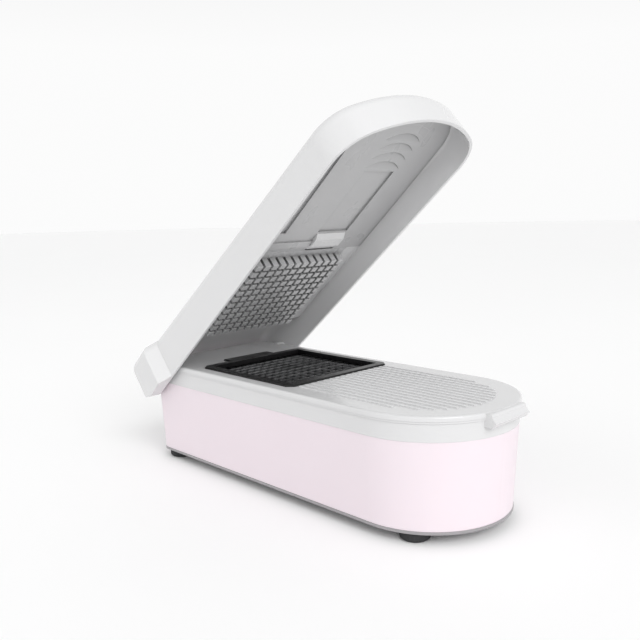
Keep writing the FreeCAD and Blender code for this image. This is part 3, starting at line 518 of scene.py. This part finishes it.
# Painted shade darkens the gaps between the pegs.
GREY_PUSHER = Moulded("grey_pusher", (0.50, 0.50, 0.505), (0.47, 0.47, 0.475), (0.95, 0.95, 0.95), 0.28,
                      coat=0.2, edge_share=1.0, mark_share=0.05, painted_shade_share=0.85, corner_reach=0.005,
                      edge_radius=0.0004)
GREY_TAB = Moulded("grey_tab", (0.66, 0.66, 0.665), (0.63, 0.63, 0.635), (0.95, 0.95, 0.95), 0.28,
                   coat=0.2, edge_share=0.9, mark_share=0.10, edge_radius=0.0006)
STEEL_ALONG = Ground("steel_along", (0.34, 0.34, 0.345), (0.10, 0.10, 0.102), 0.22, Axis.ALONG)
STEEL_ACROSS = Ground("steel_across", (0.34, 0.34, 0.345), (0.10, 0.10, 0.102), 0.22, Axis.ACROSS)
PIN_STEEL = Ground("pin_steel", (0.62, 0.62, 0.63), (0.46, 0.46, 0.47), 0.22, Axis.ACROSS)


def dress(name: str, material: bpy.types.Material) -> bpy.types.Object:
    """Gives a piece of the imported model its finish.

    Args:
        name: the piece's name.
        material: its finish.

    Returns:
        The piece.
    """
    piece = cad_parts[name]
    piece.data.materials.clear()
    piece.data.materials.append(material)
    LOG.info("%s dressed in %s", name, material.name)
    return piece


# ---------------------------------------------------------------- sub-assemblies


@dataclass
class SubAssembly:
    """A group of pieces with their finishes."""

    effects: Effects

    def finishes(self) -> dict[str, Moulded | Ground]:
        """Finish of each piece, by the piece's name."""
        raise NotImplementedError

    def build(self) -> None:
        """Dresses every piece."""
        made: dict[str, bpy.types.Material] = {}
        for name, finish in self.finishes().items():
            if finish.name not in made:
                made[finish.name] = finish.make(self.effects)
            dress(name, made[finish.name])


class Container(SubAssembly):
    """Tub, base plate and feet."""

    def finishes(self) -> dict[str, Moulded | Ground]:
        """Finish of each piece, by the piece's name."""
        feet = {f"foot_{end}_{side}": RUBBER for end in ("front", "rear") for side in ("near", "far")}
        return {"container": PINK_TUB, "base_plate": GREY_BASE, **feet}


class Tray(SubAssembly):
    """Lift-off tray with its ribbed deck."""

    def finishes(self) -> dict[str, Moulded | Ground]:
        """Finish of each piece, by the piece's name."""
        return {"tray": WHITE_TRAY}


class Cassette(SubAssembly):
    """Blade cassette."""

    def finishes(self) -> dict[str, Moulded | Ground]:
        """Finish of each piece, by the piece's name."""
        return {
            "cassette_frame": BLACK_CASSETTE,
            "cassette_retainer": BLACK_CASSETTE,
            "blades_lengthwise": STEEL_ALONG,
            "blades_crosswise": STEEL_ACROSS,
        }


class Lid(SubAssembly):
    """Hinged lid with its liner, pegs, release tab and pins."""

    def finishes(self) -> dict[str, Moulded | Ground]:
        """Finish of each piece, by the piece's name."""
        return {
            "lid": WHITE_LID,
            "lid_liner": WHITE_LINER,
            "pusher_plate": GREY_PUSHER,
            "pusher_release_tab": GREY_TAB,
            "hinge_pin_near": PIN_STEEL,
            "hinge_pin_far": PIN_STEEL,
        }


# ---------------------------------------------------------------- studio


@dataclass
class Softbox:
    """A rectangular studio lamp that looks at the object.

    Attributes:
        name: the lamp's name.
        azimuth: compass direction of the lamp in degrees, 0 on the near side.
        elevation: height angle in degrees.
        distance: from the object's middle, in metres.
        width: of the lamp, in metres.
        height: of the lamp, in metres.
        power: in watts.
    """

    name: str
    azimuth: float
    elevation: float
    distance: float
    width: float
    height: float
    power: float

    def place(self, middle: Vector) -> None:
        """Adds the lamp to the scene.

        Args:
            middle: the point that it looks at.
        """
        lamp = bpy.data.lights.new(self.name, "AREA")
        lamp.shape = "RECTANGLE"
        lamp.size = self.width
        lamp.size_y = self.height
        lamp.energy = self.power
        thing = bpy.data.objects.new(self.name, lamp)
        bpy.context.scene.collection.objects.link(thing)
        away = direction(self.azimuth, self.elevation)
        thing.location = middle + away * self.distance
        thing.rotation_euler = away.to_track_quat("Z", "Y").to_euler()


def direction(azimuth: float, elevation: float) -> Vector:
    """Unit vector towards a compass direction and height.

    Args:
        azimuth: degrees, 0 on the near side and 90 at the round front.
        elevation: degrees above the floor.

    Returns:
        The vector.
    """
    turn, rise = math.radians(azimuth), math.radians(elevation)
    return Vector((math.sin(turn) * math.cos(rise), -math.cos(turn) * math.cos(rise), math.sin(rise)))


@dataclass
class Studio:
    """Floor, sky, lamps and camera.

    Attributes:
        floor_radius: of the round floor, in metres.
        floor_colour: linear colour.
        horizon: brightness of the sky at the horizon.
        zenith: brightness of the sky overhead.
        sun: azimuth, elevation and apparent size of the wide key light in degrees, and its strength.
        azimuth: of the camera, in degrees.
        elevation: of the camera, in degrees.
        roll: of the camera, in degrees.
        distance: from the camera to the point it looks at, in metres.
        aim: that point, from the middle of the object's box, in metres.
        lens: focal length in millimetres.
    """

    floor_radius: float = 9.0
    floor_colour: Colour = (0.955, 0.955, 0.955)
    horizon: float = 0.97
    zenith: float = 0.66
    sun: tuple[float, float, float, float] = (68.0, 36.0, 38.0, 1.35)
    azimuth: float = 45.84
    elevation: float = 8.31
    roll: float = -1.26
    distance: float = 0.536
    aim: tuple[float, float, float] = (-0.0005, -0.0047, -0.0140)
    lens: float = 42.35

    def build(self, low: Vector, high: Vector) -> None:
        """Builds the studio round the object.

        Args:
            low: lowest corner of the object's box.
            high: highest corner of the object's box.
        """
        middle = (low + high) / 2
        self.add_floor(low.z)
        self.add_sky()
        self.add_sun()
        for lamp in (
            Softbox("lamp_left", -28.0, 38.0, 1.5, 1.3, 1.0, 0.8),
            Softbox("lamp_right", 100.0, 30.0, 1.6, 0.9, 1.2, 1.0),
            Softbox("lamp_top", 20.0, 82.0, 1.5, 1.4, 1.4, 1.0),
        ):
            lamp.place(middle)
        self.add_camera(middle + Vector(self.aim))

    def add_floor(self, level: float) -> None:
        """Adds the floor.

        Args:
            level: its height.
        """
        mesh = bpy.data.meshes.new("floor")
        build = bmesh.new()
        bmesh.ops.create_circle(build, cap_ends=True, segments=96, radius=self.floor_radius,
                                matrix=Matrix.Translation((0.0, 0.0, level - FLOOR_GAP)))
        build.to_mesh(mesh)
        build.free()
        floor = bpy.data.objects.new("floor", mesh)
        bpy.context.scene.collection.objects.link(floor)
        material, nodes, shader, place = new_material("pale_floor")
        cloud = nodes.noise(place, 3.0, detail=3.0)
        darker = tuple(part * 0.985 for part in self.floor_colour)
        nodes.link(nodes.blend_colours(cloud, self.floor_colour, darker), shader.inputs["Base Color"])
        shader.inputs["Roughness"].default_value = 0.75
        shader.inputs["Specular IOR Level"].default_value = 0.25
        mesh.materials.append(material)

    def add_sky(self) -> None:
        """Lights the scene from all round, a little brighter near the horizon."""
        world = bpy.data.worlds.new("studio_sky")
        world.use_nodes = True
        sky = next(node for node in world.node_tree.nodes if node.type == "BACKGROUND")
        nodes = Nodes(world.node_tree)
        split = nodes.add("ShaderNodeSeparateXYZ")
        nodes.link(nodes.add("ShaderNodeTexCoord").outputs["Generated"], split.inputs[0])
        level = nodes.spread(split.outputs["Z"], 0.2, 0.75, self.horizon, self.zenith)
        nodes.link(level, sky.inputs["Strength"])
        sky.inputs["Color"].default_value = (1.0, 1.0, 1.0, 1.0)
        bpy.context.scene.world = world

    def add_sun(self) -> None:
        """Adds the wide key light."""
        azimuth, elevation, size, strength = self.sun
        lamp = bpy.data.lights.new("key_light", "SUN")
        lamp.energy = strength
        lamp.angle = math.radians(size)
        thing = bpy.data.objects.new("key_light", lamp)
        bpy.context.scene.collection.objects.link(thing)
        thing.rotation_euler = direction(azimuth, elevation).to_track_quat("Z", "Y").to_euler()

    def add_camera(self, target: Vector) -> None:
        """Adds the camera.

        Args:
            target: the point that it looks at.
        """
        back = direction(self.azimuth, self.elevation)
        level_right = Vector((0.0, 0.0, 1.0)).cross(back).normalized()
        level_up = back.cross(level_right)
        turn = math.radians(self.roll)
        right = level_right * math.cos(turn) + level_up * math.sin(turn)
        up = level_up * math.cos(turn) - level_right * math.sin(turn)
        lens = bpy.data.cameras.new("camera")
        lens.lens = self.lens
        lens.sensor_width = 36.0
        lens.clip_start = 0.01
        lens.clip_end = 50.0
        camera = bpy.data.objects.new("camera", lens)
        bpy.context.scene.collection.objects.link(camera)
        turned = Matrix((right, up, back)).transposed().to_4x4()
        camera.matrix_world = Matrix.Translation(target + back * self.distance) @ turned
        bpy.context.scene.camera = camera


def main() -> None:
    """Builds the sub-assemblies and the studio in order."""
    logging.basicConfig(level=logging.INFO, format="%(name)s: %(message)s")
    effects = Effects.make()
    for part in (Container(effects), Tray(effects), Cassette(effects), Lid(effects)):
        part.build()
        LOG.info("%s built", type(part).__name__)
    low, high = (Vector(corner) for corner in cad_box)
    Studio().build(low, high)
    bpy.context.scene.view_settings.view_transform = "Standard"


if __name__ == "__main__":
    main()
